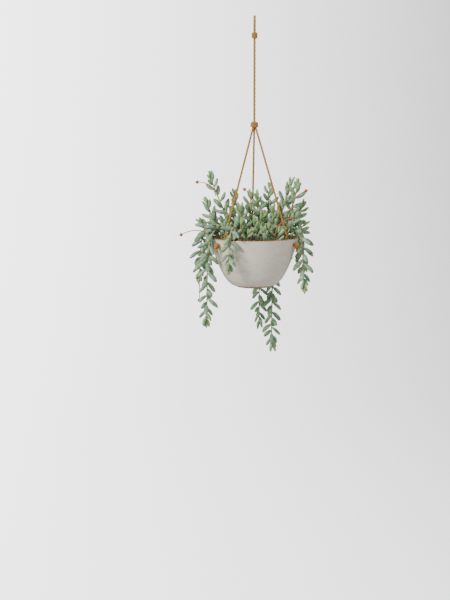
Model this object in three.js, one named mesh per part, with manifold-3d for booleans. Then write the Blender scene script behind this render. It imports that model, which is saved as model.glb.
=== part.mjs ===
// A burro's tail (Sedum morganianum) in a round stoneware bowl that hangs on a three-legged cord.
// Millimetres, +Z up. The origin is where the cord's top loop bears on its hook, so all else hangs below it.
// Azimuths are in degrees from the front, -Y, and grow towards the right, +X.
import * as THREE from "three";
import { mergeVertices } from "three/addons/utils/BufferGeometryUtils.js";
import Module from "manifold-3d";

const wasm = await Module();
wasm.setup();

// Driving dimensions
const GAP = 0.3; // between pieces that touch
const RIM_Z = -438; // the bowl's rim, below the hook
const RIM_R = 90;
const BOWL_HEIGHT = 102;
const FOOT_R = 34;
const WALL = 5.5;
const FOOT_RECESS = 2.5; // the hollow inside the foot ring
const FOOT_RING = 7; // the foot ring's width
const DRAIN_R = 6.5;
const BOWL_SIDES = 40;
const SOIL_DEPTH = 19; // from the rim down to the soil's edge
const SOIL_DOME = 6; // how much higher the soil is in the middle
const CORD_R = 2.5; // the hanging cord
const LEG_R = 2.2; // each of the three legs
const CORD_SIDES = 8;
const LOOP_R = 8; // of the top loop's round inner end
const LOOP_LENGTH = 29;
const WHIPPING = { radius: 6, height: 12 };
const KNOT = { z: -212, radius: 8, height: 11 };
const LEG_AZIMUTHS = [65, 182, -54];
const LEG_HOLE_R = 3.6;
const LEG_HOLE_DROP = 13; // from the rim down to a leg hole's middle
const LEG_ROUTE = [
  [3.2, -218.1],
  [11.3, -243.3],
  [19.4, -268.5],
  [27.4, -293.6],
  [35.5, -318.8],
  [43.6, -344],
  [51.7, -369.2],
  [59.8, -394.4],
  [67.8, -419.6],
  [75.9, -444.8],
  [77.2, -447.3],
  [79.2, -449.3],
  [81.7, -450.6],
  [84.5, -451],
  [88.6, -451],
]; // [distance from the axis, z]: straight down to its hole, then a bend of more than two diameters
const STOP_KNOT = { radius: 5.4, length: 9, tail: 15 };
const STEM_R = 2;
const STEM_STEP = 15; // from one straight stretch of a stem to the next
const LEAF = { length: 27, thickness: 9, tipLength: 15, room: 4.2 };
const LEAF_SIDES = 3;
const LEAF_PROFILE = [
  [0, 0],
  [0.5, 0.34],
  [0.56, 0.72],
  [0, 1],
]; // [radius as a share of the thickness, share of the length], from the foot to the tip
const OLD_AT = 34; // leaves are full size this far back from a growing tip
const GOLDEN_ANGLE = 137.5;
const BUD_R = 3.8;
const STALK_R = 1.1;

const BASE_Z = RIM_Z - BOWL_HEIGHT;
const SOIL_Z = RIM_Z - SOIL_DEPTH;
const LEG_HOLE_Z = RIM_Z - LEG_HOLE_DROP;

// Stems that stand or lean: [azimuth, radius and height above the rim of the tip, radius of the root]
const SPRIGS = [
  [-84, 88, 122, 44],
  [-103, 99, 68, 64],
  [-101, 108, 28, 70],
  [-74, 60, 58, 30],
  [-40, 42, 60, 34],
  [-27, 58, 30, 54],
  [122, 9, 82, 8],
  [130, 42, 98, 30],
  [30, 34, 46, 26],
  [54, 44, 56, 50],
  [100, 75, 108, 42],
  [84, 88, 106, 64],
  [72, 68, 74, 36],
  [70, 90, 50, 66],
  [96, 100, 62, 66],
  [86, 102, 26, 74],
  [168, 66, 54, 40],
  [152, 84, 38, 58],
  [-152, 86, 56, 50],
  [-122, 98, 34, 66],
  [120, 96, 32, 66],
  [-170, 36, 84, 20],
  [-128, 50, 84, 34],
  [2, 58, 34, 48],
  [28, 62, 22, 60],
  [-50, 76, 26, 66],
  [-8, 74, 14, 62],
  [14, 76, 18, 70],
  [42, 78, 16, 68],
  [-138, 78, 30, 60],
];

// Stems that hang over the rim: [azimuth, drop below the rim, radius that they hang at, radius of the root]
const TRAILS = [
  [-91, 82, 109, 52],
  [-66, 168, 103, 58],
  [-29, 54, 105, 60],
  [76, 100, 101, 54],
  [173, 194, 109, 56],
  [158, 242, 106, 46],
  [-150, 66, 107, 64],
  [-166, 78, 106, 52],
  [138, 54, 107, 46],
  [-120, 62, 108, 48],
  [106, 66, 106, 52],
];

// Thin stalks with one bud: [x, y, height above the rim] of the stalk's foot, its bend and its bud
const STALKS = [
  [[-78, -12, 84], [-82, -16, 112], [-115, -20, 112]],
  [[-6, -20, 54], [-4, -24, 88], [-20, -28, 98]],
  [[72, -30, 48], [76, -34, 86], [103, -40, 96]],
  [[40, -62, 6], [44, -70, 38], [72, -74, 44]],
  [[-92, -34, 6], [-112, -38, 26], [-147, -42, 8]],
  [[-112, -22, -86], [-109, -30, -104], [-111, -32, -126]],
];

const matte = (color, roughness) => new THREE.MeshStandardMaterial({ color, roughness, metalness: 0 });
const glaze = matte(0xe6e2d8, 0.35);
const compost = matte(0x3b2a1e, 1);
const cotton = matte(0xb87a2a, 0.9);
const leafy = matte(0x8fae8b, 0.6);
const budRed = matte(0xb4602c, 0.6);

const radians = THREE.MathUtils.degToRad;
const mix = THREE.MathUtils.lerp;

// A number from 0 to 1 that looks random and is the same each time.
function chance(a, b) {
  const value = Math.sin(a * 12.9898 + b * 78.233) * 4375.85453;
  return value - Math.floor(value);
}

// The point at that azimuth, distance from the axis and height.
function around(azimuth, radius, z) {
  const a = radians(azimuth);
  return new THREE.Vector3(Math.sin(a) * radius, -Math.cos(a) * radius, z);
}

// A smooth curve that its control points pull on, and that starts and ends on the first and last.
class Pulled extends THREE.Curve {
  constructor(points) {
    super();
    this.points = points;
  }
  getPoint(t, target = new THREE.Vector3()) {
    let row = this.points.map((p) => p.clone());
    while (row.length > 1) row = row.slice(1).map((p, i) => row[i].clone().lerp(p, t));
    return target.copy(row[0]);
  }
}

// A curve of straight lines between its points, evenly stepped from point to point.
class Route extends THREE.Curve {
  constructor(points) {
    super();
    this.points = points;
  }
  getPoint(t, target = new THREE.Vector3()) {
    const at = t * (this.points.length - 1);
    const i = Math.min(Math.floor(at), this.points.length - 2);
    return target.lerpVectors(this.points[i], this.points[i + 1], at - i);
  }
  getPointAt(t, target) {
    return this.getPoint(t, target);
  }
  getTangentAt(t, target) {
    return this.getTangent(t, target);
  }
}

function solidOf(geometry) {
  const bare = geometry.clone();
  bare.deleteAttribute("normal");
  bare.deleteAttribute("uv");
  const merged = mergeVertices(bare, 1e-4);
  return new wasm.Manifold(
    new wasm.Mesh({
      numProp: 3,
      vertProperties: merged.attributes.position.array,
      triVerts: new Uint32Array(merged.index.array),
    }),
  );
}

function geometryOf(solid) {
  const { vertProperties, triVerts } = solid.getMesh();
  const geometry = new THREE.BufferGeometry();
  geometry.setAttribute("position", new THREE.BufferAttribute(vertProperties, 3));
  geometry.setIndex(new THREE.BufferAttribute(triVerts, 1));
  return geometry;
}

const part = new THREE.Group();

function add(name, geometry, material) {
  const mesh = new THREE.Mesh(geometry, material);
  mesh.name = name;
  part.add(mesh);
  return mesh;
}

// A turned solid about Z from its profile, a list of [radius, z] that goes round anticlockwise.
function turned(profile, sides) {
  const points = profile.map(([r, z]) => new THREE.Vector2(r, z));
  return new THREE.LatheGeometry(points, sides).rotateX(Math.PI / 2);
}

// A tube of that radius along a curve, closed at both ends.
function tube(curve, radius, sides, steps) {
  const corners = Array.from({ length: sides }, (_, i) => {
    const a = (i / sides) * 2 * Math.PI;
    return new THREE.Vector2(Math.cos(a) * radius, Math.sin(a) * radius);
  });
  return new THREE.ExtrudeGeometry(new THREE.Shape(corners), {
    extrudePath: curve,
    steps,
    bevelEnabled: false,
  });
}

// The bowl: [radius, height above its base] of the outside, from the foot to the rim
const BOWL_OUTSIDE = [
  [FOOT_R, 0],
  [46, 5],
  [58, 17],
  [69, 37],
  [77.5, 58],
  [84.5, 79],
  [RIM_R, BOWL_HEIGHT - 3],
];

// The outside's radius at a height above the base, on the straight lines between its points.
function outsideRadius(height) {
  const above = BOWL_OUTSIDE.findIndex(([, h]) => h >= height);
  if (above < 0) return RIM_R;
  const [r0, h0] = BOWL_OUTSIDE[Math.max(above - 1, 0)];
  const [r1, h1] = BOWL_OUTSIDE[above];
  return h1 === h0 ? r1 : mix(r0, r1, (height - h0) / (h1 - h0));
}

// The bowl's inside is its outside moved in by the wall, down to a flat floor.
const FLOOR = 8; // height of the bowl's floor above its base
const BOWL_INSIDE = BOWL_OUTSIDE.slice(2).map(([r, h]) => [r - WALL, h]);
const FLOOR_R = 44;

function bowl() {
  const lip = [
    [RIM_R - 0.6, BOWL_HEIGHT - 1],
    [RIM_R - WALL / 2, BOWL_HEIGHT],
    [RIM_R - WALL + 0.6, BOWL_HEIGHT - 1],
  ];
  const profile = [
    [DRAIN_R, FOOT_RECESS],
    [FOOT_R - FOOT_RING, FOOT_RECESS],
    [FOOT_R - FOOT_RING, 0],
    ...BOWL_OUTSIDE,
    ...lip,
    ...[...BOWL_INSIDE].reverse(),
    [FLOOR_R, FLOOR],
    [DRAIN_R, FLOOR],
  ];
  profile.push(profile[0]);
  let solid = solidOf(turned(profile, BOWL_SIDES).translate(0, 0, BASE_Z));
  for (const azimuth of LEG_AZIMUTHS) {
    const drill = new THREE.CylinderGeometry(LEG_HOLE_R, LEG_HOLE_R, 30, 12);
    drill.rotateZ(radians(90)).translate(RIM_R - 5, 0, LEG_HOLE_Z);
    drill.rotateZ(radians(azimuth - 90));
    solid = solid.subtract(solidOf(drill));
  }
  add("bowl", geometryOf(solid), glaze);
}

// The compost fills the bowl to just under the leg holes, a little higher in the middle.
function soilHeight(radius) {
  const share = radius / (RIM_R - WALL);
  return SOIL_Z + SOIL_DOME * (1 - share * share);
}

function soil() {
  const side = BOWL_INSIDE.filter(([, h]) => BASE_Z + h < SOIL_Z - 4);
  const edge = outsideRadius(SOIL_Z - BASE_Z) - WALL - 2 * GAP;
  const top = [edge, edge * 0.66, edge * 0.33].map((r) => [r, soilHeight(r) - BASE_Z]);
  const profile = [
    [0, FLOOR + GAP],
    [FLOOR_R - 2 * GAP, FLOOR + GAP],
    ...side.map(([r, h]) => [r - 2 * GAP, h + GAP]),
    ...top,
    [0, soilHeight(0) - BASE_Z],
  ];
  add("soil", turned(profile, BOWL_SIDES).translate(0, 0, BASE_Z), compost);
}

// The hanging cord, from its top loop and whipping down to the knot that gathers the three legs
const WHIPPING_TOP = -LOOP_LENGTH;
const WHIPPING_FOOT = WHIPPING_TOP - WHIPPING.height;
const KNOT_TOP = KNOT.z + KNOT.height / 2;

function barrel(radius, height, sides = 16) {
  const shoulder = radius * 0.72;
  const profile = [
    [0, -height / 2],
    [shoulder, -height / 2],
    [radius, -height / 4],
    [radius, height / 4],
    [shoulder, height / 2],
    [0, height / 2],
  ];
  return turned(profile, sides);
}

// The loop's cord runs straight up from the whipping, round the hook and back.
function loopRoute() {
  const middle = new THREE.Vector2(0, -LOOP_R);
  const foot = new THREE.Vector2(CORD_R + 0.2, WHIPPING_TOP + 3 * GAP);
  const slant = foot.clone().sub(middle);
  const leaves = Math.atan2(slant.y, slant.x) + Math.acos((LOOP_R + CORD_R) / slant.length());
  const round = Array.from({ length: 11 }, (_, i) => {
    const a = mix(leaves, Math.PI - leaves, i / 10);
    return new THREE.Vector2(Math.cos(a), Math.sin(a)).multiplyScalar(LOOP_R + CORD_R).add(middle);
  });
  const across = [foot, ...round, new THREE.Vector2(-foot.x, foot.y)];
  return new Route(across.map((p) => new THREE.Vector3(0, p.x, p.y)));
}

function hangingCord() {
  const loop = loopRoute();
  add("hang_loop", tube(loop, CORD_R, CORD_SIDES, loop.points.length - 1), cotton);

  const whipping = barrel(WHIPPING.radius, WHIPPING.height);
  add("loop_whipping", whipping.translate(0, 0, (WHIPPING_TOP + WHIPPING_FOOT) / 2), cotton);

  const top = new THREE.Vector3(0, 0, WHIPPING_FOOT - GAP);
  const foot = new THREE.Vector3(0, 0, KNOT_TOP + GAP);
  add("main_cord", tube(new THREE.LineCurve3(top, foot), CORD_R, CORD_SIDES, 8), cotton);

  add("gathering_knot", barrel(KNOT.radius, KNOT.height).translate(0, 0, KNOT.z), cotton);
}

// Each leg runs from the knot down to the inside of the wall, turns out through its hole and is knotted there.
const STOP_START_R = RIM_R - 1.1;

function legPoints(azimuth) {
  return LEG_ROUTE.map(([r, z]) => around(azimuth, r, z));
}

function legs() {
  LEG_AZIMUTHS.forEach((azimuth, i) => {
    const points = legPoints(azimuth);
    add(`leg_cord_${i + 1}`, tube(new Route(points), LEG_R, CORD_SIDES, points.length - 1), cotton);

    const stop = solidOf(barrel(STOP_KNOT.radius, STOP_KNOT.length, 10).rotateX(Math.PI / 2));
    const tail = solidOf(new THREE.CylinderGeometry(LEG_R, LEG_R, STOP_KNOT.tail, 6).rotateX(Math.PI / 2));
    const middle = STOP_START_R + STOP_KNOT.length / 2;
    const joined = geometryOf(stop.add(tail.translate([0, 0, -STOP_KNOT.tail / 2])));
    joined.translate(0, -middle, LEG_HOLE_Z).rotateZ(radians(azimuth));
    add(`rim_knot_${i + 1}`, joined, cotton);
  });
}

// A stem is straight from node to node, so that its leaves stand exactly on it.
function stemRoute(points) {
  const smooth = new Pulled(points);
  return new Route(smooth.getSpacedPoints(Math.round(smooth.getLength() / STEM_STEP)));
}

// A standing or leaning stem's curve, from the soil to its tip.
function sprigCurve([azimuth, radius, height, rootRadius], i) {
  const rise = RIM_Z + height - soilHeight(rootRadius);
  const rootZ = soilHeight(rootRadius) + GAP + STEM_R;
  const sway = mix(-10, 10, chance(i, 1));
  return stemRoute([
    around(azimuth + sway * 0.5, rootRadius, rootZ),
    around(azimuth + sway, mix(rootRadius, radius, 0.15), rootZ + rise * 0.42),
    around(azimuth + sway * 0.4, mix(rootRadius, radius, 0.7), rootZ + rise * 0.62),
    around(azimuth, radius, RIM_Z + height),
  ]);
}

// A hanging stem's curve: up from the soil, over the rim and straight down, with its tip turned out a little.
function trailCurve([azimuth, drop, radius, rootRadius], i) {
  const rootZ = soilHeight(rootRadius) + GAP + STEM_R;
  const sway = mix(-5, 5, chance(i, 2));
  const overTheRim = RIM_Z + mix(30, 42, chance(i, 3));
  return stemRoute([
    around(azimuth, rootRadius, rootZ),
    around(azimuth + sway, rootRadius + 4, overTheRim),
    around(azimuth + sway, radius - 8, overTheRim + 8),
    around(azimuth, radius + 6, RIM_Z + 8),
    around(azimuth - sway, radius, RIM_Z - drop * 0.3),
    around(azimuth + sway * 0.5, radius, RIM_Z - drop * 0.7),
    around(azimuth, radius + 3, RIM_Z - drop),
  ]);
}

// The leaves of one stem, from its tip back: each has a foot on the stem and the ways that it may point.
// They stand round the stem by the golden angle, short and close at the tip and full size further back.
const POINTINGS = [1, 0.7, 0.4]; // shares of the usual spread: a leaf with little room lies nearer its stem

function leavesOf(curve, azimuth, bare, seed) {
  const length = curve.getLength();
  const side = around(azimuth + 90, 1, 0);
  const leaves = [];
  for (let back = 1, n = 0; back < length - bare; n += 1) {
    const age = Math.min(1, back / OLD_AT);
    const share = 1 - back / length;
    const foot = curve.getPointAt(share);
    const along = curve.getTangentAt(share);
    const outward = new THREE.Vector3().crossVectors(side, along).normalize();
    const across = new THREE.Vector3().crossVectors(along, outward);
    const turn = radians(n * GOLDEN_ANGLE + 360 * chance(seed, 9));
    const away = outward.multiplyScalar(Math.cos(turn)).addScaledVector(across, Math.sin(turn));
    const spread = radians(mix(16, 50, age) + mix(-6, 6, chance(seed, n)));
    const size = mix(LEAF.tipLength, LEAF.length, age) * mix(0.88, 1.12, chance(n, seed));
    const ways = POINTINGS.map((narrow) =>
      along
        .clone()
        .multiplyScalar(Math.cos(spread * narrow) * size)
        .addScaledVector(away, Math.sin(spread * narrow) * size),
    );
    leaves.push({ foot, ways, size });
    back += mix(2.6, 6.6, age);
  }
  return leaves;
}

// The shortest distance between two straight stretches, a to a + u and b to b + v.
function distance(a, u, b, v) {
  const w = a.clone().sub(b);
  const [uu, uv, vv, uw, vw] = [u.dot(u), u.dot(v), v.dot(v), u.dot(w), v.dot(w)];
  const clamp = (x) => Math.min(1, Math.max(0, x));
  const det = uu * vv - uv * uv;
  let s = det > 1e-9 ? clamp((uv * vw - vv * uw) / det) : 0;
  const t = clamp((uv * s + vw) / vv);
  s = clamp((uv * t - uw) / uu);
  return w.addScaledVector(u, s).addScaledVector(v, -t).length();
}

// A curve as straight stretches of about that length.
function stretches(curve, step) {
  const points = curve.getSpacedPoints(Math.ceil(curve.getLength() / step));
  return points.slice(1).map((p, i) => [points[i], p.clone().sub(points[i])]);
}

// Whether a leaf clears the bowl and the soil all along its length.
function clearsBowl(foot, way) {
  return [0.4, 0.6, 0.8, 1].every((t) => {
    const p = foot.clone().addScaledVector(way, t);
    const r = Math.hypot(p.x, p.y);
    const room = LEAF.room * (t === 1 ? 0.4 : 1);
    if (r < RIM_R - WALL - room) return p.z > soilHeight(r) + room;
    return p.z > RIM_Z + room || r > outsideRadius(p.z - BASE_Z) + room;
  });
}

// A leaf as a plain three-sided spindle, which swells from its narrow foot and ends in a blunt point.
function leafSolid({ foot, way, size }) {
  const profile = LEAF_PROFILE.map(
    ([share, at]) => new THREE.Vector2((share * LEAF.thickness * size) / LEAF.length, at * size),
  );
  const upright = new THREE.Vector3(0, 1, 0);
  const turn = new THREE.Quaternion().setFromUnitVectors(upright, way.clone().normalize());
  return solidOf(new THREE.LatheGeometry(profile, LEAF_SIDES).applyQuaternion(turn).translate(...foot.toArray()));
}

function plant() {
  const stems = [
    ...SPRIGS.map((row, i) => ({ name: `sprig_${i + 1}`, row, bare: 7, curve: sprigCurve(row, i) })),
    ...TRAILS.map((row, i) => ({ name: `trail_${i + 1}`, row, bare: 20, curve: trailCurve(row, i) })),
  ];
  const stemStretches = stems.map(({ curve }) => stretches(curve, 8));
  const stalkStretches = STALKS.flatMap((row) => stretches(stalkCurve(row), 8));
  const legStretches = LEG_AZIMUTHS.flatMap((azimuth) => {
    const points = legPoints(azimuth);
    return points.slice(1).map((p, i) => [points[i], p.clone().sub(points[i])]);
  });
  const placed = [];

  stems.forEach(({ name, row, bare, curve }, i) => {
    const others = stemStretches.filter((_, j) => j !== i).flat();
    const fits = (foot, way) => {
      const inner = foot.clone().addScaledVector(way, 0.2);
      const rest = way.clone().multiplyScalar(0.72);
      const far = (list, room) => list.every(([a, u]) => distance(inner, rest, a, u) > room);
      return (
        clearsBowl(foot, way) &&
        far(others, LEAF.room + STEM_R) &&
        far(legStretches, LEAF.room + LEG_R) &&
        far(stalkStretches, LEAF.room + STALK_R) &&
        placed.every((p) => p.stem === i || distance(inner, rest, p.inner, p.rest) > 2 * LEAF.room - 0.4)
      );
    };
    const solids = [solidOf(tube(curve, STEM_R, 3, curve.points.length - 1))];
    for (const { foot, ways, size } of leavesOf(curve, row[0], bare, i + 1)) {
      const way = ways.find((candidate) => fits(foot, candidate));
      if (!way) continue;
      const inner = foot.clone().addScaledVector(way, 0.2);
      placed.push({ stem: i, inner, rest: way.clone().multiplyScalar(0.72) });
      solids.push(leafSolid({ foot, way, size }));
    }
    add(name, geometryOf(wasm.Manifold.union(solids)), leafy);
  });
}

function stalkCurve(row) {
  return new Pulled(row.map(([x, y, height]) => new THREE.Vector3(x, y, RIM_Z + height)));
}

function stalks() {
  STALKS.forEach((row, i) => {
    const curve = stalkCurve(row);
    const stalk = solidOf(tube(curve, STALK_R, 4, 5));
    const end = curve.getPoint(1);
    const bud = solidOf(new THREE.OctahedronGeometry(BUD_R, 1)).translate(end.toArray());
    add(`bud_stalk_${i + 1}`, geometryOf(stalk.add(bud)), budRed);
  });
}

bowl();
soil();
hangingCord();
legs();
plant();
stalks();

export default part;
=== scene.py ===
# A burro's tail, Sedum morganianum, in a stoneware bowl that hangs on a twisted cotton cord.
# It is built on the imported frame, in metres, one section for each piece or group of like pieces.
import random
from math import acos, atan2, cos, floor, pi, radians, sin, sqrt

import bmesh
import bpy
from mathutils import Matrix, Vector, noise


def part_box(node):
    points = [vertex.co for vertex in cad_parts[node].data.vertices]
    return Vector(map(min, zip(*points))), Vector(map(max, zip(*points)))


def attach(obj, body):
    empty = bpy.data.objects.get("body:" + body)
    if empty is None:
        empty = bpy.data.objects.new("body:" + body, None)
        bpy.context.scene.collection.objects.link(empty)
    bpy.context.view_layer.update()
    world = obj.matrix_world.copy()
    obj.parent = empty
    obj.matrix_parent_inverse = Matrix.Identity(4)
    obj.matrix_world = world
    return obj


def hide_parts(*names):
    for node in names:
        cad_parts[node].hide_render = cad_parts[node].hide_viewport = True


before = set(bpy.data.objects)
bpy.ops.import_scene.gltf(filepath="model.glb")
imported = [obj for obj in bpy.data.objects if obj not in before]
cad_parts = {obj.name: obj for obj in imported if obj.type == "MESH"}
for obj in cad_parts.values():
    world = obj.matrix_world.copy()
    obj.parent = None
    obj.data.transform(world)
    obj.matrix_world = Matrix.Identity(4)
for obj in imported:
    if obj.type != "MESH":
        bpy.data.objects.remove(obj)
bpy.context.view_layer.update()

# ------------------------
# Camera. It stands three metres off with a long lens, in front of the plant and a little above the bowl's
# rim, and aims left of the cord, so that the planter hangs right of the middle.
MM = 0.001
CAMERA_DISTANCE = 3.0
CAMERA_PITCH = radians(7.9)
CAMERA_AIM = Vector((-0.059, 0, -0.568))
CAMERA_LENS = 88


def in_scene(name, data):
    """A new object, in the scene, that holds the data."""
    made = bpy.data.objects.new(name, data)
    bpy.context.collection.objects.link(made)
    return made


camera = in_scene("camera", bpy.data.cameras.new("camera"))
camera.data.lens = CAMERA_LENS
camera.location = CAMERA_AIM + CAMERA_DISTANCE * Vector((0, -cos(CAMERA_PITCH), sin(CAMERA_PITCH)))
camera.rotation_euler = (radians(90) - CAMERA_PITCH, 0, 0)
bpy.context.scene.camera = camera

# ------------------------
# Hanging cord. Ochre cotton, three strands laid round each other. The five-millimetre main length ends in a
# loop for the hook at its top; three thinner legs run from the gathering knot to the holes in the bowl.
CORD_RADIUS = 2.5 * MM
LEG_RADIUS = 2.2 * MM
STRANDS = 3
STRAND_RADIUS = 0.55  # this and the next three in cord radii
STRAND_OFFSET = 0.45  # of a strand's middle from the cord's
LAY_LENGTH = 10  # of one strand's full turn
RING_STEP = 0.4  # from one ring of the cord's mesh to the next
CORD_SIDES = 24
STRAND_GIRTH = 4 * MM
FIBRE_WIDTH = 0.7 * MM
WAVE_SPACING = 0.31  # of a wave texture's stripes at a scale of one
FUZZ = {"Roughness": 0.92, "Sheen Weight": 0.35}
LOOP_RADIUS = 10.5 * MM  # of the cord's own line round the hook
LOOP_STEPS = 24
LOOP_GAP = 0.2 * MM  # from the middle plane to each end of the loop
MAIN_STEPS = 20
LEG_AZIMUTHS = (65, 182, -54)
LEG_ROUTE = [
    (3.2, -218.1), (11.3, -243.3), (19.4, -268.5), (27.4, -293.6), (35.5, -318.8),
    (43.6, -344), (51.7, -369.2), (59.8, -394.4), (67.8, -419.6), (75.9, -444.8),
    (77.2, -447.3), (79.2, -449.3), (81.7, -450.6), (84.5, -451), (88.6, -451),
]  # (distance from the axis, z), in millimetres


def mix(a, b, t):
    return a + (b - a) * t


def around(azimuth, radius, z):
    """The point at that azimuth, counted from the front towards the right, in the same unit as its sizes."""
    a = radians(azimuth)
    return Vector((sin(a) * radius, -cos(a) * radius, z))


def straight(start, end, count):
    return [start.lerp(end, i / count) for i in range(count + 1)]


def lengths_along(route):
    """How far along the route each of its points lies."""
    lengths = [0.0]
    for a, b in zip(route, route[1:]):
        lengths.append(lengths[-1] + (b - a).length)
    return lengths


def evenly(route, step):
    """The route's points again, about that step apart."""
    lengths = lengths_along(route)
    count = max(2, round(lengths[-1] / step))
    points, i = [], 0
    for k in range(count + 1):
        target = lengths[-1] * k / count
        while i < len(route) - 2 and lengths[i + 1] < target:
            i += 1
        share = (target - lengths[i]) / (lengths[i + 1] - lengths[i])
        points.append(route[i].lerp(route[i + 1], share))
    return points


def heading(route, i):
    """The route's direction at its point i, from the points on either side of it."""
    return (route[min(i + 1, len(route) - 1)] - route[max(i - 1, 0)]).normalized()


def ring_round(shape, point, side, across, radii):
    """A ring of vertices round the point, in the plane of side and across, one at each of the radii."""
    ring = []
    for k, radius in enumerate(radii):
        a = 2 * pi * k / len(radii)
        ring.append(shape.verts.new(point + (side * cos(a) + across * sin(a)) * radius))
    return ring


def between(rings):
    """The four corners of each face between neighbouring rings."""
    for low, high in zip(rings, rings[1:]):
        for k in range(len(low)):
            n = (k + 1) % len(low)
            yield low[k], low[n], high[n], high[k]


def finished(name, shape, smooth=True):
    """The mesh of a shape that was built in memory, which is then freed."""
    mesh = bpy.data.meshes.new(name)
    shape.to_mesh(mesh)
    shape.free()
    if smooth:
        mesh.shade_smooth()
    return mesh


def strand_outline(angle):
    """The laid cord's outline, as a share of its radius, at an angle from the middle of a strand."""
    nearest = (angle + pi / STRANDS) % (2 * pi / STRANDS) - pi / STRANDS
    aside = STRAND_OFFSET * sin(nearest)
    return STRAND_OFFSET * cos(nearest) + sqrt(STRAND_RADIUS**2 - aside**2)


def laid_cord(name, route, radius):
    """A closed tube along the route, with the grooves of its strands. Its UV map holds metres along the cord
    and metres round its strands."""
    points = evenly(route, radius * RING_STEP)
    lengths = lengths_along(points)
    turns = [length / (LAY_LENGTH * radius) for length in lengths]
    shape = bmesh.new()
    uv = shape.loops.layers.uv.new("cord")
    tangent = (points[1] - points[0]).normalized()
    side = tangent.orthogonal().normalized()
    rings = []
    for i, point in enumerate(points):
        ahead = heading(points, i)
        side = tangent.rotation_difference(ahead) @ side
        tangent = ahead
        angles = [2 * pi * (k / CORD_SIDES - turns[i]) for k in range(CORD_SIDES)]
        radii = [radius * strand_outline(angle) for angle in angles]
        rings.append(ring_round(shape, point, side, tangent.cross(side), radii))
    for number, corners in enumerate(between(rings)):
        i, k = divmod(number, CORD_SIDES)
        places = ((i, k), (i, k + 1), (i + 1, k + 1), (i + 1, k))
        for loop, (row, column) in zip(shape.faces.new(corners).loops, places):
            loop[uv].uv = (lengths[row], (column / CORD_SIDES - turns[row]) * STRANDS * STRAND_GIRTH)
    shape.faces.new(reversed(rings[0]))
    shape.faces.new(rings[-1])
    return finished(name, shape)


def linear(code):
    """A colour written as six hexadecimal sRGB digits, as the linear RGBA that shaders take."""
    parts = [int(code[i : i + 2], 16) / 255 for i in (0, 2, 4)]
    return [c / 12.92 if c <= 0.04045 else ((c + 0.055) / 1.055) ** 2.4 for c in parts] + [1.0]


def feed(tree, node, inputs):
    """Sets a node's inputs, by name or number, to plain values or colours' hexadecimal digits, or links them
    to another node's output: the first one in use where only the node is given."""
    for key, value in inputs.items():
        by_name = (socket for socket in node.inputs if socket.enabled and socket.name == key)
        socket = node.inputs[key] if isinstance(key, int) else next(by_name)
        if isinstance(value, bpy.types.Node):
            value = next(output for output in value.outputs if output.enabled)
        if isinstance(value, bpy.types.NodeSocket):
            tree.links.new(value, socket)
        elif socket.type == "RGBA":
            socket.default_value = linear(value)
        else:
            socket.default_value = value


def add(tree, kind, inputs=None, **settings):
    """Adds a node with its settings and links."""
    node = tree.nodes.new(kind)
    for key, value in settings.items():
        setattr(node, key, value)
    feed(tree, node, inputs or {})
    return node


def new_material(name):
    """A material, its tree, and the place on the object, in metres, that its patterns follow."""
    made = bpy.data.materials.new(name)
    made.use_nodes = True
    return made, made.node_tree, add(made.node_tree, "ShaderNodeTexCoord").outputs["Object"]


def shaded(material, inputs):
    """The material, with its shader's own sockets set or linked."""
    feed(material.node_tree, material.node_tree.nodes["Principled BSDF"], inputs)
    return material


def twisted_cotton():
    # Dyed cotton yarn, laid in three strands: matt and fuzzy, darker in the grooves, with the fibres of each
    # strand running aslant. Real fibres are too fine to show, so their stripes are 0.7 mm wide.
    made, tree, spots = new_material("twisted_cotton")
    place = add(tree, "ShaderNodeUVMap", uv_map="cord")
    slant = add(tree, "ShaderNodeMapping", {"Vector": place, "Rotation": (0, 0, radians(52))})
    stripes = {"Vector": slant, "Scale": WAVE_SPACING / FIBRE_WIDTH, "Distortion": 1.5, "Detail": 2.0}
    fibres = add(tree, "ShaderNodeTexWave", stripes).outputs["Fac"]
    wear = add(tree, "ShaderNodeTexNoise", {"Vector": spots, "Scale": 1 / (14 * MM), "Detail": 4.0})
    dye = add(tree, "ShaderNodeMix", {"Factor": fibres, "A": "96600C", "B": "BE8820"}, data_type="RGBA")
    faded = add(tree, "ShaderNodeMix", {"Factor": wear, "A": dye, "B": "AC7A1C"}, data_type="RGBA")
    relief = add(tree, "ShaderNodeBump", {"Height": fibres, "Strength": 0.6, "Distance": 0.2 * MM})
    return shaded(made, {**FUZZ, "Base Color": faded, "Normal": relief})


def settle(name, mesh, material, slot, *nodes):
    """Puts a finished mesh in the scene as a piece that stands for those nodes and rides on the one body.
    A mesh that brings its own materials keeps them where no material is given."""
    if material:
        mesh.materials.clear()
        mesh.materials.append(material)
    piece = in_scene(name, mesh)
    if nodes:
        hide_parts(*nodes)
    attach(piece, "root")
    return piece


cotton = twisted_cotton()


def length_of_cord(name, route, radius, node):
    return settle(name, laid_cord(name, route, radius), cotton, "cotton_cord", node)


loop_centre = Vector((0, 0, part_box("hang_loop")[1].z - CORD_RADIUS - LOOP_RADIUS))
loop_foot = Vector((0, CORD_RADIUS + LOOP_GAP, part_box("loop_whipping")[1].z))
loop_slant = loop_foot - loop_centre
loop_leaves = atan2(loop_slant.z, loop_slant.y) + acos(LOOP_RADIUS / loop_slant.length)
loop_route = [loop_foot]
for step in range(LOOP_STEPS + 1):
    turn = mix(loop_leaves, pi - loop_leaves, step / LOOP_STEPS)
    loop_route.append(loop_centre + LOOP_RADIUS * Vector((0, cos(turn), sin(turn))))
loop_route.append(Vector((0, -loop_foot.y, loop_foot.z)))
hang_loop = length_of_cord("top_loop", loop_route, CORD_RADIUS, "hang_loop")

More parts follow.
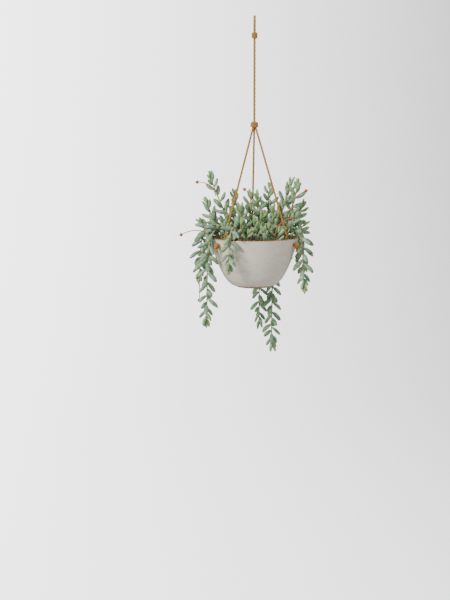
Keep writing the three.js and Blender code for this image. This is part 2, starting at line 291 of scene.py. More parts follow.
main_low, main_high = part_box("main_cord")
main_route = straight(Vector((0, 0, main_high.z)), Vector((0, 0, main_low.z)), MAIN_STEPS)
main_cord = length_of_cord("long_cord", main_route, CORD_RADIUS, "main_cord")

leg_routes = [[around(azimuth, r, z) * MM for r, z in LEG_ROUTE] for azimuth in LEG_AZIMUTHS]
legs = [
    length_of_cord(f"leg_{i}", route, LEG_RADIUS, f"leg_cord_{i}")
    for i, route in enumerate(leg_routes, start=1)
]

# ------------------------
# Whipping and knots. Turns of the same cotton, wound tight: a thin whipping closes the top loop, a gathering
# knot binds the legs to the main cord, and a double overhand knot outside each hole stops its leg.
WHIPPING_TURNS = 8
WHIPPING_REACH = 0.35 * MM  # of the cord ends out of the winding
KNOT_TURNS = 3.4
KNOT_REACH = 0.8 * MM
STOP_TURNS = 2.3
STOP_RADIUS = 5.4 * MM
STOP_LENGTH = 9 * MM
STOP_GAP = 0.3 * MM
TAIL_LENGTH = 14.6 * MM
TURN_OVERLAP = 1.04  # a turn's thickness for each step of the helix
CORE_BEVEL = 0.35  # as a share of the core's radius
CORE_SIDES = 24
WINDING_STEPS = 40  # to a turn
WINDING_SIDES = 14
ON_AXIS = 1e-7  # a point this near the axis is a pole


def new_tree(name, *sizes):
    """An empty tree of geometry nodes, with a named input for each size, and those inputs."""
    tree = bpy.data.node_groups.new(name, "GeometryNodeTree")
    tree.interface.new_socket("Geometry", in_out="INPUT", socket_type="NodeSocketGeometry")
    for size in sizes:
        tree.interface.new_socket(size, in_out="INPUT", socket_type="NodeSocketFloat")
    tree.interface.new_socket("Geometry", in_out="OUTPUT", socket_type="NodeSocketGeometry")
    return tree, tree.nodes.new("NodeGroupInput").outputs


def made_real(tree, geometry, material):
    """Turns instances into plain geometry and gives it its material."""
    real = add(tree, "GeometryNodeRealizeInstances", {"Geometry": geometry})
    return add(tree, "GeometryNodeSetMaterial", {"Geometry": real, "Material": material})


def applied(host):
    """The plain mesh that an object's modifiers make of it; the object itself is removed."""
    graph = bpy.context.evaluated_depsgraph_get()
    made = host.evaluated_get(graph)
    mesh = bpy.data.meshes.new_from_object(made, preserve_all_data_layers=True, depsgraph=graph)
    bpy.data.objects.remove(host)
    return mesh


def made_by(tree, name, values, base=None):
    """The plain mesh that the tree makes from a base mesh with those inputs."""
    host = in_scene(name, base or bpy.data.meshes.new(name))
    modifier = host.modifiers.new("nodes", "NODES")
    modifier.node_group = tree
    for socket in tree.interface.items_tree:
        if socket.in_out == "INPUT" and socket.name in values:
            modifier[socket.identifier] = values[socket.name]
    return applied(host)


def winding_tree(material):
    tree, sizes = new_tree("wound_cord", "Turns", "Winding Radius", "Height", "Cord Radius")
    wound_to = sizes["Winding Radius"]
    spiral = {"Resolution": WINDING_STEPS, "Rotations": sizes["Turns"], "Height": sizes["Height"]}
    spiral.update({"Start Radius": wound_to, "End Radius": wound_to})
    helix = add(tree, "GeometryNodeCurveSpiral", spiral)
    circle = {"Resolution": WINDING_SIDES, "Radius": sizes["Cord Radius"]}
    section = add(tree, "GeometryNodeCurvePrimitiveCircle", circle)
    swept = {"Curve": helix, "Profile Curve": section, "Fill Caps": True}
    tube = add(tree, "GeometryNodeCurveToMesh", swept)
    add(tree, "NodeGroupOutput", {"Geometry": made_real(tree, tube, material)})
    return tree


def wound_cotton():
    # The same dyed cotton, pulled hard round itself: matt, with fibres that run along each turn.
    made, tree, spots = new_material("wound_cotton")
    stretch = {"Vector": spots, "Rotation": (0.6, 0.4, 0), "Scale": (1, 1, 4)}
    aslant = add(tree, "ShaderNodeMapping", stretch)
    yarn = add(tree, "ShaderNodeTexNoise", {"Vector": aslant, "Scale": 1 / (1.6 * MM), "Detail": 6.0})
    dye = add(tree, "ShaderNodeMix", {"Factor": yarn, "A": "8A580A", "B": "BC8620"}, data_type="RGBA")
    relief = add(tree, "ShaderNodeBump", {"Height": yarn, "Strength": 0.7, "Distance": 0.3 * MM})
    return shaded(made, {**FUZZ, "Base Color": dye, "Normal": relief})


def turned(name, profile, sides):
    """A closed solid about the axis from its profile, points of (radius, z) that go round anticlockwise."""
    shape = bmesh.new()
    rings = []
    angles = [2 * pi * k / sides for k in range(sides)]
    for radius, z in profile:
        if radius < ON_AXIS:
            rings.append([shape.verts.new((0, 0, z))] * sides)
        else:
            rings.append([shape.verts.new((radius * cos(a), radius * sin(a), z)) for a in angles])
    if profile[0][0] >= ON_AXIS:
        rings.append(rings[0])
    for corners in between(rings):
        shape.faces.new(list(dict.fromkeys(corners)))
    bmesh.ops.recalc_face_normals(shape, faces=shape.faces)
    return finished(name, shape)


def joined(name, meshes):
    """Several meshes as one, with smooth faces."""
    whole = bmesh.new()
    for mesh in meshes:
        whole.from_mesh(mesh)
    return finished(name, whole)


def core(name, radius, low, high):
    """The rounded bundle of cord ends that a winding goes round."""
    bevel = radius * CORE_BEVEL
    side = [(radius - bevel, low), (radius, low + bevel), (radius, high - bevel), (radius - bevel, high)]
    return turned(name, [(0, low), *side, (0, high)], CORE_SIDES)


wound = wound_cotton()
winding = winding_tree(wound)


def wound_knot(name, turns, radius, low, high, reach):
    """A winding of that outer radius between two heights, on a core that reaches out of it at both ends."""
    cord = (high - low) / (2 * (turns + 1))
    helix = {
        "Turns": turns,
        "Winding Radius": radius - cord,
        "Height": high - low - 2 * cord,
        "Cord Radius": cord * TURN_OVERLAP,
    }
    turns_mesh = made_by(winding, name, helix)
    turns_mesh.transform(Matrix.Translation((0, 0, low + cord)))
    return joined(name, [turns_mesh, core(name, radius - cord, low - reach, high + reach)])


def binding(name, node, turns, reach):
    """A wound knot that fills its node's box, about the main cord."""
    low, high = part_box(node)
    mesh = wound_knot(name, turns, high.x, low.z, high.z, reach)
    return settle(name, mesh, wound, "cotton_cord", node)


whipping = binding("whipping", "loop_whipping", WHIPPING_TURNS, WHIPPING_REACH)
gathering = binding("gathering", "gathering_knot", KNOT_TURNS, KNOT_REACH)

stop_knots = []
hole_radius, hole_z = (size * MM for size in LEG_ROUTE[-1])
start = hole_radius + STOP_GAP
for i, azimuth in enumerate(LEG_AZIMUTHS, start=1):
    knot_mesh = wound_knot("stop", STOP_TURNS, STOP_RADIUS, start, start + STOP_LENGTH, WHIPPING_REACH)
    knot_mesh.transform(Matrix.Rotation(radians(90), 4, "X"))
    middle = Vector((0, -start - STOP_LENGTH / 2, 0))
    tail_route = straight(middle, middle - Vector((0, 0, TAIL_LENGTH)), 8)
    stop_mesh = joined(f"stop_{i}", [knot_mesh, laid_cord("tail", tail_route, LEG_RADIUS)])
    facing = Matrix.Rotation(radians(azimuth), 4, "Z")
    stop_mesh.transform(Matrix.Translation((0, 0, hole_z)) @ facing)
    stop_knots.append(settle(f"stop_{i}", stop_mesh, wound, "cotton_cord", f"rim_knot_{i}"))

cords = [
    (hang_loop, loop_route, CORD_RADIUS, "object", []),
    (main_cord, main_route, CORD_RADIUS, "knot", [whipping, gathering]),
]
cords += [(leg, route, LEG_RADIUS, "knot", [stop]) for leg, route, stop in zip(legs, leg_routes, stop_knots)]

# ------------------------
# Bowl. Stoneware thrown on a wheel, so faint rings run round it; a foot ring is turned underneath, and a
# drain hole and three leg holes are drilled before firing. The foot is left bare of its off-white glaze.
bowl_low, bowl_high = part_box("bowl")
BASE_Z = bowl_low.z
RIM_Z = bowl_high.z
RIM_RADIUS = bowl_high.x
WALL = 5.5 * MM
LIP_HEIGHT = 3 * MM
LIP_STEPS = 10
FLOOR = 8 * MM
FLOOR_RADIUS = 44 * MM
INSIDE_FROM = 17 * MM  # the wall's inside follows its outside from this height up
FOOT_RADIUS = 34 * MM
FOOT_INSIDE = 27 * MM
FOOT_RECESS = 2.5 * MM
DRAIN_RADIUS = 6.5 * MM
LEG_HOLE_RADIUS = 3.6 * MM
DRILL_LENGTH = 30 * MM
DRILL_MIDDLE = RIM_RADIUS - 5 * MM
DRILL_SIDES = 28
SHARP_ANGLE = radians(40)
BOWL_OUTSIDE = [
    (34, 0), (46, 5), (58, 17), (69, 37),
    (77.5, 58), (84.5, 79), (90, 99),
]  # (radius, height above the base), in millimetres
BOWL_STEPS = 14
BOWL_SIDES = 144
RING_SPACING = 5.2 * MM
RING_DEPTH = 0.24 * MM


def rounded(points, steps):
    """A smooth line through the points, with that many steps from each to the next."""
    line = []
    for i in range(len(points) - 1):
        a, b, c, d = (Vector(points[min(max(i + j, 0), len(points) - 1)]) for j in (-1, 0, 1, 2))
        for k in range(steps):
            t = k / steps
            curve = (2 * a - 5 * b + 4 * c - d) * t**2 + (3 * b - a - 3 * c + d) * t**3
            line.append(0.5 * (2 * b + (c - a) * t + curve))
    return line + [Vector(points[-1])]


def bowl_mesh():
    """The bowl before its leg holes are drilled, with a small bevel or round at each edge."""
    outside = []
    for radius, height in rounded([(r * MM, h * MM) for r, h in BOWL_OUTSIDE[1:]], BOWL_STEPS):
        ring = RING_DEPTH * (1 - cos(2 * pi * height / RING_SPACING)) / 2
        outside.append((radius - ring, BASE_Z + height))
    inside = [(r - WALL, z) for r, z in outside if z - BASE_Z > INSIDE_FROM]
    lip = []
    for k in range(1, LIP_STEPS):
        a = pi * k / LIP_STEPS
        height = LIP_HEIGHT * (sin(a) - 1)
        lip.append((RIM_RADIUS - WALL / 2 + WALL / 2 * cos(a), RIM_Z + height))
    recess_z = BASE_Z + FOOT_RECESS
    floor_z = BASE_Z + FLOOR
    profile = [
        (DRAIN_RADIUS, recess_z + 0.4 * MM),
        (DRAIN_RADIUS + 0.4 * MM, recess_z),
        (FOOT_INSIDE - 1 * MM, recess_z),
        (FOOT_INSIDE, recess_z - 1 * MM),
        (FOOT_INSIDE + 0.8 * MM, BASE_Z),
        (FOOT_RADIUS - 0.6 * MM, BASE_Z),
        (FOOT_RADIUS + 0.4 * MM, BASE_Z + 0.3 * MM),
        *outside,
        *lip,
        *reversed(inside),
        (FLOOR_RADIUS, floor_z),
        (DRAIN_RADIUS + 0.6 * MM, floor_z),
        (DRAIN_RADIUS, floor_z - 0.6 * MM),
    ]
    return turned("bowl", profile, BOWL_SIDES)


def leg_hole_drills():
    drills = bmesh.new()
    for azimuth in LEG_AZIMUTHS:
        place = Matrix.Translation(around(azimuth, DRILL_MIDDLE, hole_z))
        place @= Matrix.Rotation(radians(azimuth), 4, "Z") @ Matrix.Rotation(radians(90), 4, "X")
        size = {"radius1": LEG_HOLE_RADIUS, "radius2": LEG_HOLE_RADIUS, "depth": DRILL_LENGTH}
        bmesh.ops.create_cone(drills, cap_ends=True, segments=DRILL_SIDES, matrix=place, **size)
    return finished("drills", drills, smooth=False)


def drilled(mesh, drills):
    """The mesh with the drills' shapes cut out of it."""
    body = in_scene("body", mesh)
    tool = in_scene("tool", drills)
    cut = body.modifiers.new("cut", "BOOLEAN")
    cut.operation = "DIFFERENCE"
    cut.solver = "EXACT"
    cut.object = tool
    result = applied(body)
    bpy.data.objects.remove(tool)
    result.set_sharp_from_angle(angle=SHARP_ANGLE)
    return result


def layered(tree, colour, layers):
    """Lays colours over each other: each layer is the value that its share follows, that value where the
    share is none and where it is full, the full share, and the colour. Also gives the last layer's share."""
    for value, start, full, most, over in layers:
        reach = {"Value": value, "From Min": start, "From Max": full, "To Max": most}
        share = add(tree, "ShaderNodeMapRange", reach)
        colour = add(tree, "ShaderNodeMix", {"Factor": share, "A": colour, "B": over}, data_type="RGBA")
    return colour, share


def stoneware():
    # Iron-speckled stoneware under a satin tin glaze: off-white and softly glossy, with rust-brown where the
    # glaze runs thin on the lip and the throwing rings, and bare buff clay on the foot. Real iron specks are
    # under a millimetre; they are drawn at 1.4 mm so that they show.
    made, tree, spots = new_material("satin_glazed_stoneware")
    height = add(tree, "ShaderNodeSeparateXYZ", {"Vector": spots}).outputs["Z"]
    cloud = add(tree, "ShaderNodeTexNoise", {"Vector": spots, "Scale": 1 / (32 * MM), "Detail": 4.0})
    grain = add(tree, "ShaderNodeTexNoise", {"Vector": spots, "Scale": 1 / (5 * MM), "Detail": 3.0})
    glaze = add(tree, "ShaderNodeMix", {"Factor": cloud, "A": "EEE6D6", "B": "DFD3BE"}, data_type="RGBA")
    ragged = add(tree, "ShaderNodeMath", {0: grain, 1: 3.4 * MM, 2: height}, operation="MULTIPLY_ADD")
    flat_rings = add(tree, "ShaderNodeMapping", {"Vector": spots, "Scale": (0.12, 0.12, 1)})
    streaks = add(tree, "ShaderNodeTexNoise", {"Vector": flat_rings, "Scale": 1 / (2.6 * MM), "Detail": 2.0})
    specks = add(tree, "ShaderNodeTexVoronoi", {"Vector": spots, "Scale": 1 / (7 * MM), "Randomness": 1.0})
    clay = add(tree, "ShaderNodeMix", {"Factor": grain, "A": "B98A5E", "B": "A87548"}, data_type="RGBA")
    layers = [
        (streaks, 0.56, 0.8, 0.5, "C2A582"),  # thin glaze on the throwing rings
        (ragged, RIM_Z - 1.6 * MM, RIM_Z + 1.2 * MM, 1.0, "9C5F2C"),  # and on the lip
        (specks, 0.1, 0.06, 0.75, "6B4526"),  # iron
        (ragged, BASE_Z + 7 * MM, BASE_Z + 6.2 * MM, 1.0, clay),  # the bare foot
    ]
    colour, bare = layered(tree, glaze, layers)
    gloss = add(tree, "ShaderNodeMapRange", {"Value": bare, "To Min": 0.34, "To Max": 0.85})
    relief = add(tree, "ShaderNodeBump", {"Height": grain, "Strength": 0.25, "Distance": 0.4 * MM})
    satin = {"Roughness": gloss, "Coat Weight": 0.35, "Coat Roughness": 0.18, "IOR": 1.52}
    return shaded(made, {**satin, "Base Color": colour, "Normal": relief})


settle("thrown_bowl", drilled(bowl_mesh(), leg_hole_drills()), stoneware(), "glaze", "bowl")

# ------------------------
# Compost. A gritty cactus mix, dark peat and bark with pale pumice, pressed into the bowl and slightly domed.
# Its surface is lumpy, and loose grit lies on it.
SOIL_EDGE_Z = -457 * MM
SOIL_DOME = 6 * MM
SOIL_RADIUS = RIM_RADIUS - WALL
SOIL_GAP = 0.6 * MM  # between the compost and the wall
SOIL_TOP_RADIUS = 80 * MM - SOIL_GAP
SOIL_TOP_STEPS = 34
SOIL_SIDES = 120
LUMP_SIZE = 9 * MM
CRUMB_SIZE = 3 * MM
CRUMB_SHARE = 0.6  # of a lump's height
LUMP_HEIGHT = 0.9 * MM
LUMP_SINK = 0.4 * MM
GRIT_DENSITY = 62000  # grains on a square metre
GRIT_SIZE = 2.6 * MM
GRIT_SHARES = {"Min": 0.35, "Max": 1.1}  # of that size, from the smallest grain to the largest
GRAIN_ROUGHNESS = (0.7, 1.15)
GRAIN_FLATNESS = 0.7
GRIT_MARGIN = 8 * MM  # bare compost along the wall


def soil_height(radius):
    return SOIL_EDGE_Z + SOIL_DOME * (1 - (radius / SOIL_RADIUS) ** 2)


def compost_mesh():
    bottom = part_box("soil")[0].z
    profile = [(0, bottom), (FLOOR_RADIUS - SOIL_GAP, bottom)]
    for radius, height in BOWL_OUTSIDE[2:5]:
        profile.append((radius * MM - WALL - SOIL_GAP, BASE_Z + height * MM + SOIL_GAP / 2))
    for k in range(SOIL_TOP_STEPS):
        radius = SOIL_TOP_RADIUS * (1 - k / SOIL_TOP_STEPS)
        profile.append((radius, soil_height(radius)))
    profile.append((0, soil_height(0)))
    mesh = turned("compost", profile, SOIL_SIDES)
    for vertex in mesh.vertices:
        if vertex.co.z > SOIL_EDGE_Z - 1 * MM:
            lump = noise.noise(vertex.co / LUMP_SIZE) + CRUMB_SHARE * noise.noise(vertex.co / CRUMB_SIZE)
            vertex.co.z += LUMP_HEIGHT * lump - LUMP_SINK
    return mesh


def peat():
    # Moist peat and bark fines: almost black-brown, dead matt, crumbly at the scale of a few millimetres.
    made, tree, spots = new_material("peat_compost")
    crumbs = add(tree, "ShaderNodeTexNoise", {"Vector": spots, "Scale": 1 / (3 * MM), "Detail": 6.0})
    shade = add(tree, "ShaderNodeMix", {"Factor": crumbs, "A": "241811", "B": "5B4331"}, data_type="RGBA")
    relief = add(tree, "ShaderNodeBump", {"Height": crumbs, "Strength": 1.0, "Distance": 1 * MM})
    return shaded(made, {"Roughness": 0.95, "Base Color": shade, "Normal": relief})


def out_of_sight(name, meshes):
    """A collection outside the scene with an object for each mesh, which a tree can place copies of."""
    shapes = bpy.data.collections.new(name)
    for mesh in meshes:
        shapes.objects.link(bpy.data.objects.new(mesh.name, mesh))
    return shapes


def placed(tree, shapes, points, inputs):
    """One of the shapes at each point, turned and scaled as the inputs say."""
    kept = {"Collection": shapes, "Separate Children": True, "Reset Children": True}
    instance = add(tree, "GeometryNodeCollectionInfo", kept)
    placing = {"Points": points, "Instance": instance, "Pick Instance": True, **inputs}
    return add(tree, "GeometryNodeInstanceOnPoints", placing)


def grain_shapes():
    """Three angular grains, each a squashed twenty-sided lump about one metre across."""
    grains = []
    rough = random.Random(5)
    for k in range(3):
        lump = bmesh.new()
        bmesh.ops.create_icosphere(lump, subdivisions=1, radius=0.5)
        for vertex in lump.verts:
            vertex.co *= rough.uniform(*GRAIN_ROUGHNESS)
            vertex.co.z *= GRAIN_FLATNESS
        grains.append(finished(f"grain_{k}", lump, smooth=False))
    return out_of_sight("grains", grains)


def grit_tree(shapes, material):
    tree, sizes = new_tree("scattered_grit", "Density", "Grain Size")
    sown = {"Mesh": sizes["Geometry"], "Density": sizes["Density"], "Seed": 11}
    spread = add(tree, "GeometryNodeDistributePointsOnFaces", sown)
    any_way = {"Max": (6.28, 6.28, 6.28), "Seed": 3}
    turn = add(tree, "FunctionNodeRandomValue", any_way, data_type="FLOAT_VECTOR")
    share = add(tree, "FunctionNodeRandomValue", {**GRIT_SHARES, "Seed": 4}, data_type="FLOAT")
    width = add(tree, "ShaderNodeMath", {0: share, 1: sizes["Grain Size"]}, operation="MULTIPLY")
    strewn = placed(tree, shapes, spread, {"Rotation": turn, "Scale": width})
    kind = add(tree, "FunctionNodeRandomValue", {"Min": 0.0, "Max": 1.0, "Seed": 8}, data_type="FLOAT")
    named = {"Geometry": strewn, "Name": "kind", "Value": kind}
    marked = add(tree, "GeometryNodeStoreNamedAttribute", named, data_type="FLOAT", domain="INSTANCE")
    add(tree, "NodeGroupOutput", {"Geometry": made_real(tree, marked, material)})
    return tree


def grit():
    # Crushed pumice and bark chips: each grain is one colour, from bark brown through buff to chalky grey.
    made, tree, spots = new_material("pumice_and_bark_grit")
    kind = add(tree, "ShaderNodeAttribute", attribute_name="kind").outputs["Fac"]
    pores = add(tree, "ShaderNodeTexNoise", {"Vector": spots, "Scale": 1 / (0.8 * MM), "Detail": 2.0})
    stone = add(tree, "ShaderNodeMix", {"Factor": pores, "A": "8D8272", "B": "C9C0B0"}, data_type="RGBA")
    bark = add(tree, "ShaderNodeMix", {"Factor": pores, "A": "3A2517", "B": "7A5234"}, data_type="RGBA")
    colour, _ = layered(tree, bark, [(kind, 0.5, 0.56, 1.0, stone)])
    return shaded(made, {"Roughness": 0.9, "Base Color": colour})


def soil_top():
    """The compost's surface inside the bowl, for the grit to lie on."""
    count, sides = 10, 40
    shape = bmesh.new()
    rings = []
    for i in range(1, count + 1):
        radius = (SOIL_RADIUS - GRIT_MARGIN) * i / count
        places = [around(360 * k / sides, radius, soil_height(radius)) for k in range(sides)]
        rings.append([shape.verts.new(place) for place in places])
    for a, b, c, d in between(rings):
        shape.faces.new((a, d, c, b))
    shape.faces.new(rings[0])
    bmesh.ops.recalc_face_normals(shape, faces=shape.faces)
    return finished("soil_top", shape, smooth=False)


settle("compost", compost_mesh(), peat(), "compost", "soil")
grit_sizes = {"Density": GRIT_DENSITY, "Grain Size": GRIT_SIZE}
grit_mesh = made_by(grit_tree(grain_shapes(), grit()), "grit", grit_sizes, soil_top())
settle("grit", grit_mesh, None, "compost")

# ------------------------
# Stems and leaves. Each stem roots in the compost and stands, leans or hangs over the rim. Plump leaves
# spiral up it, fastened only by a narrow neck, short and crowded at the growing tip. The frame's node for a
# stem holds one plain spindle for each leaf, and the leaf is put where its spindle is.
SPRIGS = [
    (-84, 88, 122, 44), (-103, 99, 68, 64), (-101, 108, 28, 70), (-74, 60, 58, 30), (-40, 42, 60, 34),
    (-27, 58, 30, 54), (122, 9, 82, 8), (130, 42, 98, 30), (30, 34, 46, 26), (54, 44, 56, 50),
    (100, 75, 108, 42), (84, 88, 106, 64), (72, 68, 74, 36), (70, 90, 50, 66), (96, 100, 62, 66),
    (86, 102, 26, 74), (168, 66, 54, 40), (152, 84, 38, 58), (-152, 86, 56, 50), (-122, 98, 34, 66),
    (120, 96, 32, 66), (-170, 36, 84, 20), (-128, 50, 84, 34), (2, 58, 34, 48), (28, 62, 22, 60),
    (-50, 76, 26, 66), (-8, 74, 14, 62), (14, 76, 18, 70), (42, 78, 16, 68), (-138, 78, 30, 60),
]  # stems that stand or lean: (azimuth, radius and height above the rim of the tip, radius of the root)
TRAILS = [
    (-91, 82, 109, 52), (-66, 168, 103, 58), (-29, 54, 105, 60), (76, 100, 101, 54),
    (173, 194, 109, 56), (158, 242, 106, 46), (-150, 66, 107, 64), (-166, 78, 106, 52),
    (138, 54, 107, 46), (-120, 62, 108, 48), (106, 66, 106, 52),
]  # stems that hang: (azimuth, drop below the rim, radius that they hang at, radius of the root)
RIM = RIM_Z / MM  # stems are laid out in millimetres
STEM_STEP = 15
STEM_FINENESS = 200
STEM_ROOT_RADIUS = 2.0 * MM
STEM_TIP_RADIUS = 1.1 * MM
STEM_SIDES = 10
STEM_RING_STEP = 3 * MM
ROOT_HEIGHT = 2.3  # of a stem's first node above the compost
ROOT_DEPTH = 4 * MM  # how far a stem goes on down from that node
SPRIG_SWAY = 10  # the most that a stem leaves its upright plane, in degrees
TRAIL_SWAY = 5
ARCH_HEIGHTS = (30, 42)  # of a hanging stem's pull above the rim
LEAF_EDGE = 0.3365  # the length of an edge at a spindle's point, as a share of its leaf's length
LEAF_EDGE_COSINE = 0.8321  # of the angle between that edge and the leaf
COSINE_SLACK = 0.01
MERGE_DISTANCE = 0.02 * MM
OLD_AT = 34 * MM  # leaves are fully grown this far back from the tip
LEAF_WIDTH = 0.185  # the leaf's half width and, next, half thickness, as shares of its length
LEAF_DEPTH = 0.155
LEAF_FULLNESS = 2.16  # makes the swell's greatest value one
LEAF_BOWS = (0.03, 0.075)  # of the straightest and the most bent leaf, as shares of their length
NECK_LENGTH = 0.2
NECK_WIDTH = 0.5
LEAF_SHAPES = 4
BASE_ATTRIBUTES = {"size": "FLOAT", "plump": "FLOAT", "aim": "FLOAT_VECTOR", "underside": "FLOAT_VECTOR"}
LEAF_SIDES = 10
LEAF_RINGS = 10
PLUMPNESS = (0.92, 1.06)  # of the slimmest and the fattest leaf


def chance(a, b):
    """A number from 0 to 1 that looks random and is the same each time."""
    value = sin(a * 12.9898 + b * 78.233) * 4375.85453
    return value - floor(value)


def pulled(points, t):
    """The point at a share t of the smooth curve that the control points pull on."""
    row = points
    while len(row) > 1:
        row = [a.lerp(b, t) for a, b in zip(row, row[1:])]
    return row[0]


def stem_line(points):
    """A stem's own line, in metres, straight from node to node."""
    fine = [pulled(points, k / STEM_FINENESS) for k in range(STEM_FINENESS + 1)]
    return [p * MM for p in evenly(fine, STEM_STEP)]


def ground(radius):
    return soil_height(radius * MM) / MM


def sprig_line(i, azimuth, radius, height, root):
    foot = ground(root) + ROOT_HEIGHT
    rise = RIM + height - ground(root)
    sway = mix(-SPRIG_SWAY, SPRIG_SWAY, chance(i, 1))
    pulls = [
        around(azimuth + sway * 0.5, root, foot),
        around(azimuth + sway, mix(root, radius, 0.15), foot + rise * 0.42),
        around(azimuth + sway * 0.4, mix(root, radius, 0.7), foot + rise * 0.62),
        around(azimuth, radius, RIM + height),
    ]
    return stem_line(pulls)


def trail_line(i, azimuth, drop, radius, root):
    sway = mix(-TRAIL_SWAY, TRAIL_SWAY, chance(i, 2))
    over = RIM + mix(*ARCH_HEIGHTS, chance(i, 3))
    pulls = [
        around(azimuth, root, ground(root) + ROOT_HEIGHT),
        around(azimuth + sway, root + 4, over),
        around(azimuth + sway, radius - 8, over + 8),
        around(azimuth, radius + 6, RIM + 8),
        around(azimuth - sway, radius, RIM - drop * 0.3),
        around(azimuth + sway * 0.5, radius, RIM - drop * 0.7),
        around(azimuth, radius + 3, RIM - drop),
    ]
    return stem_line(pulls)


def spindles(node):
    """Each leaf of a node as (tip, direction from foot to tip, length). A point is known as a leaf's tip by
    its three edges, which all make the same angle with the leaf."""
    shape = bmesh.new()
    shape.from_mesh(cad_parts[node].data)
    bmesh.ops.remove_doubles(shape, verts=shape.verts, dist=MERGE_DISTANCE)
    found = []
    for vertex in shape.verts:
        edges = [edge.other_vert(vertex).co - vertex.co for edge in vertex.link_edges]
        back = sum((edge.normalized() for edge in edges), Vector()).normalized()
        leans = [abs(edge.normalized().dot(back) - LEAF_EDGE_COSINE) for edge in edges]
        if len(edges) == 3 and max(leans) < COSINE_SLACK:
            found.append((vertex.co.copy(), -back, max(edge.length for edge in edges) / LEAF_EDGE))
    shape.free()
    return found


def stem_base(name, line, leaves):
    """The line and, loose beside it, a point at each leaf's foot that says how the leaf stands."""
    length = lengths_along(line)
    points = [line[0] - Vector((0, 0, ROOT_DEPTH)), *line]
    count = len(points)
    edges = [(k, k + 1) for k in range(count - 1)]
    values = {key: [0.0] * count for key in ("size", "age", "tone", "plump")}
    aims = [Vector()] * count
    undersides = [Vector()] * count
    shades = random.Random(name)
    for tip, direction, size in leaves:
        foot = tip - direction * size
        nearest = min(range(len(line)), key=lambda k: (line[k] - foot).length)
        points.append(foot)
        aims.append(direction)
        undersides.append(-heading(line, nearest))
        values["size"].append(size)
        values["age"].append(min(1.0, (length[-1] - length[nearest]) / OLD_AT))
        values["tone"].append(shades.random())
        values["plump"].append(shades.uniform(*PLUMPNESS))
    mesh = bpy.data.meshes.new(name)
    mesh.from_pydata(points, edges, [])
    for key, numbers in values.items():
        mesh.attributes.new(key, "FLOAT", "POINT").data.foreach_set("value", numbers)
    for key, vectors in (("aim", aims), ("underside", undersides)):
        flat = [x for vector in vectors for x in vector]
        mesh.attributes.new(key, "FLOAT_VECTOR", "POINT").data.foreach_set("vector", flat)
    return mesh


def leaf_mesh(name, bow):
    """A leaf one metre long that points up and bows away from its stem."""
    shape = bmesh.new()
    along = shape.verts.layers.float.new("along")
    rings = []
    for j in range(1, LEAF_RINGS):
        t = (1 - cos(pi * j / LEAF_RINGS)) / 2
        swell = LEAF_FULLNESS * t**0.62 * (1 - t) ** 0.5 * mix(NECK_WIDTH, 1, min(1, t / NECK_LENGTH))
        ring = []
        for s in range(LEAF_SIDES):
            a = 2 * pi * s / LEAF_SIDES
            x = LEAF_DEPTH * swell * cos(a) + bow * sin(pi * t)
            vertex = shape.verts.new((x, LEAF_WIDTH * swell * sin(a), t))
            vertex[along] = t
            ring.append(vertex)
        rings.append(ring)
    foot, tip = shape.verts.new((0, 0, 0)), shape.verts.new((0, 0, 1))
    tip[along] = 1.0
    for corners in between(rings):
        shape.faces.new(corners)
    for s in range(LEAF_SIDES):
        n = (s + 1) % LEAF_SIDES
        shape.faces.new((foot, rings[0][n], rings[0][s]))
        shape.faces.new((rings[-1][s], rings[-1][n], tip))
    bmesh.ops.recalc_face_normals(shape, faces=shape.faces)
    return finished(name, shape)


def stem_tree(shapes, leaf_material, stem_material):
    """Grows a stem along the base's edges and a leaf on each of its loose points."""
    tree, sizes = new_tree("leafy_stem", "Root Radius", "Tip Radius")
    size, plump, aim, under = (
        add(tree, "GeometryNodeInputNamedAttribute", {"Name": key}, data_type=kind)
        for key, kind in BASE_ATTRIBUTES.items()
    )
    of_leaf = {"A": size, "B": 0.001}
    is_leaf = add(tree, "FunctionNodeCompare", of_leaf, data_type="FLOAT", operation="GREATER_THAN")
    base = {"Geometry": sizes["Geometry"], "Selection": is_leaf}
    parts = add(tree, "GeometryNodeSeparateGeometry", base, domain="POINT")
    line = add(tree, "GeometryNodeMeshToCurve", {"Mesh": parts.outputs["Inverted"]})
    smooth = add(tree, "GeometryNodeCurveSplineType", {"Curve": line}, spline_type="CATMULL_ROM")
    fine = add(tree, "GeometryNodeResampleCurve", {"Curve": smooth, "Length": STEM_RING_STEP}, mode="LENGTH")
    share = add(tree, "GeometryNodeSplineParameter").outputs["Factor"]
    thinning = {"Value": share, "To Min": sizes["Root Radius"], "To Max": sizes["Tip Radius"]}
    taper = add(tree, "ShaderNodeMapRange", thinning)
    section = add(tree, "GeometryNodeCurvePrimitiveCircle", {"Resolution": STEM_SIDES, "Radius": 1.0})
    swept = {"Curve": fine, "Profile Curve": section, "Scale": taper, "Fill Caps": True}
    stem = add(tree, "GeometryNodeCurveToMesh", swept)
    barked = add(tree, "GeometryNodeSetMaterial", {"Geometry": stem, "Material": stem_material})

    pointed = add(tree, "FunctionNodeAlignRotationToVector", {"Vector": aim}, axis="Z")
    facing = {"Rotation": pointed, "Vector": under}
    turned_out = add(tree, "FunctionNodeAlignRotationToVector", facing, axis="X", pivot_axis="Z")
    width = add(tree, "ShaderNodeMath", {0: size, 1: plump}, operation="MULTIPLY")
    scale = add(tree, "ShaderNodeCombineXYZ", {"X": width, "Y": width, "Z": size})
    any_leaf = {"Min": 0, "Max": LEAF_SHAPES - 1, "Seed": 21}
    which = add(tree, "FunctionNodeRandomValue", any_leaf, data_type="INT")
    standing = {"Instance Index": which, "Rotation": turned_out, "Scale": scale}
    grown = placed(tree, shapes, parts.outputs["Selection"], standing)
    both = add(tree, "GeometryNodeJoinGeometry", {"Geometry": made_real(tree, grown, leaf_material)})
    feed(tree, both, {"Geometry": barked})
    add(tree, "NodeGroupOutput", {"Geometry": both})
    return tree


